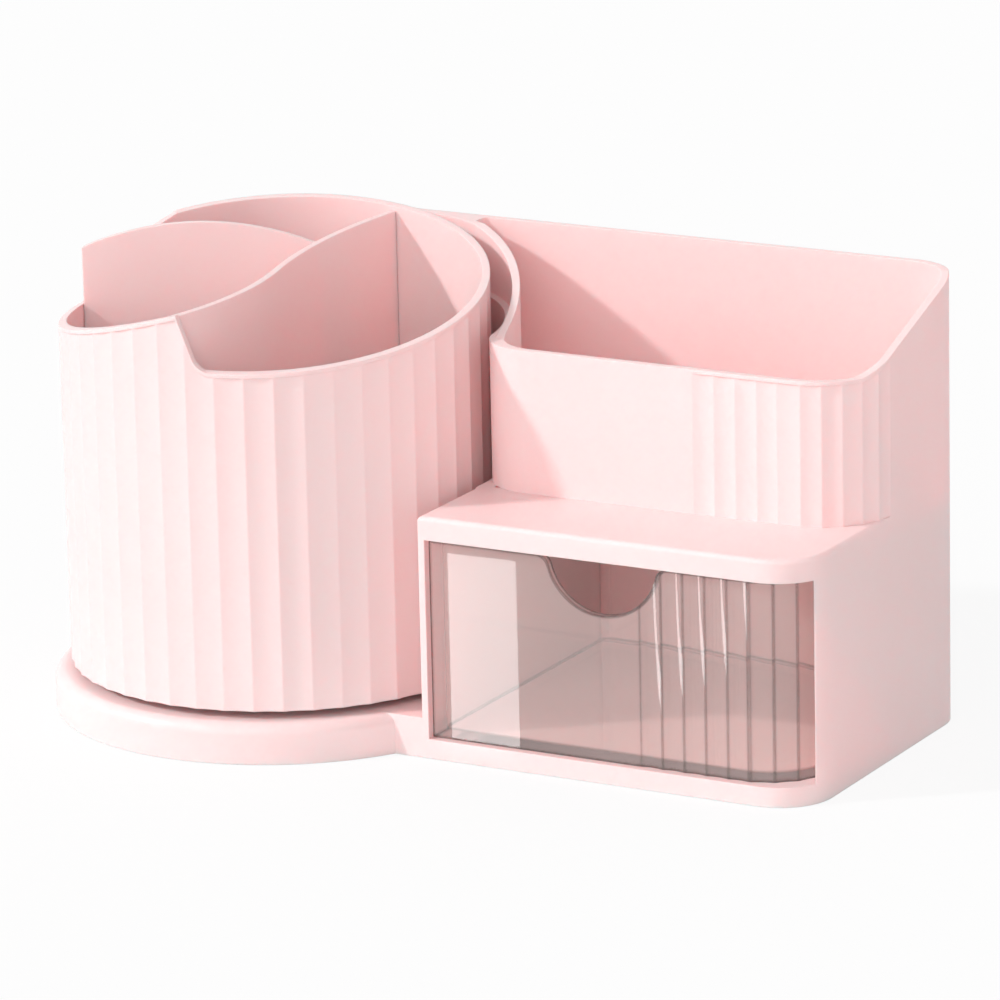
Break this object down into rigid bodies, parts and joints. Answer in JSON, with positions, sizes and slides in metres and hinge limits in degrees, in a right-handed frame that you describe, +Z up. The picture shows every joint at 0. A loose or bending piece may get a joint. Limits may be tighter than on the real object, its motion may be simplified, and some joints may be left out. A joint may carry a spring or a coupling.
{
  "type": "makeup organizer",
  "caption": "Makeup organizer with a turning, divided brush cup on a round base, an open bin and a clear drawer that slides out below it.",
  "frame": {"origin": "centre of the overall box's bottom, on the surface that the organizer stands on", "axes": "+X from the turning cup to the drawer housing, the longest way; +Y to the back; +Z up"},
  "size_m": [0.28, 0.152, 0.1522],
  "materials": {
    "pink_plastic": "satin",
    "smoked_plastic": "polished, clear",
    "white_plastic": "matte",
    "zinc_steel": "zinc plated",
    "bright_steel": "polished",
    "foot_rubber": "matte"
  },
  "bodies": {
    "base": {"main_body": "pink_plastic", "bearing_lower_race": "white_plastic", "lower_race_screws": "zinc_steel", "foot_1": "foot_rubber", "foot_2": "foot_rubber", "foot_3": "foot_rubber", "foot_4": "foot_rubber", "foot_5": "foot_rubber", "foot_6": "foot_rubber"},
    "cup": {"cup_shell": "pink_plastic", "divider_insert": "pink_plastic", "bearing_upper_race": "white_plastic", "upper_race_screws": "zinc_steel", "pivot_screw": "zinc_steel", "pivot_washer": "zinc_steel"},
    "cage": {"ball_cage": "white_plastic", "ball_01": "bright_steel", "ball_02": "bright_steel", "ball_03": "bright_steel", "ball_04": "bright_steel", "ball_05": "bright_steel", "ball_06": "bright_steel", "ball_07": "bright_steel", "ball_08": "bright_steel", "ball_09": "bright_steel", "ball_10": "bright_steel", "ball_11": "bright_steel", "ball_12": "bright_steel"},
    "drawer": {"drawer_tub": "smoked_plastic"}
  },
  "joints": [
    {"name": "cup_turn", "type": "hinge", "parent": "base", "child": "cup", "pos_m": [-0.066, -0.002, 0], "axis": [0, 0, 1], "continuous": true},
    {"name": "cage_turn", "type": "hinge", "parent": "base", "child": "cage", "pos_m": [-0.066, -0.002, 0], "axis": [0, 0, 1], "continuous": true},
    {"name": "drawer_slide", "type": "slide", "parent": "base", "child": "drawer", "axis": [0, -1, 0], "range_m": [0, 0.095]}
  ],
  "couplings": [
    {"joint": "cage_turn", "follows": "cup_turn", "ratio": 0.5}
  ]
}
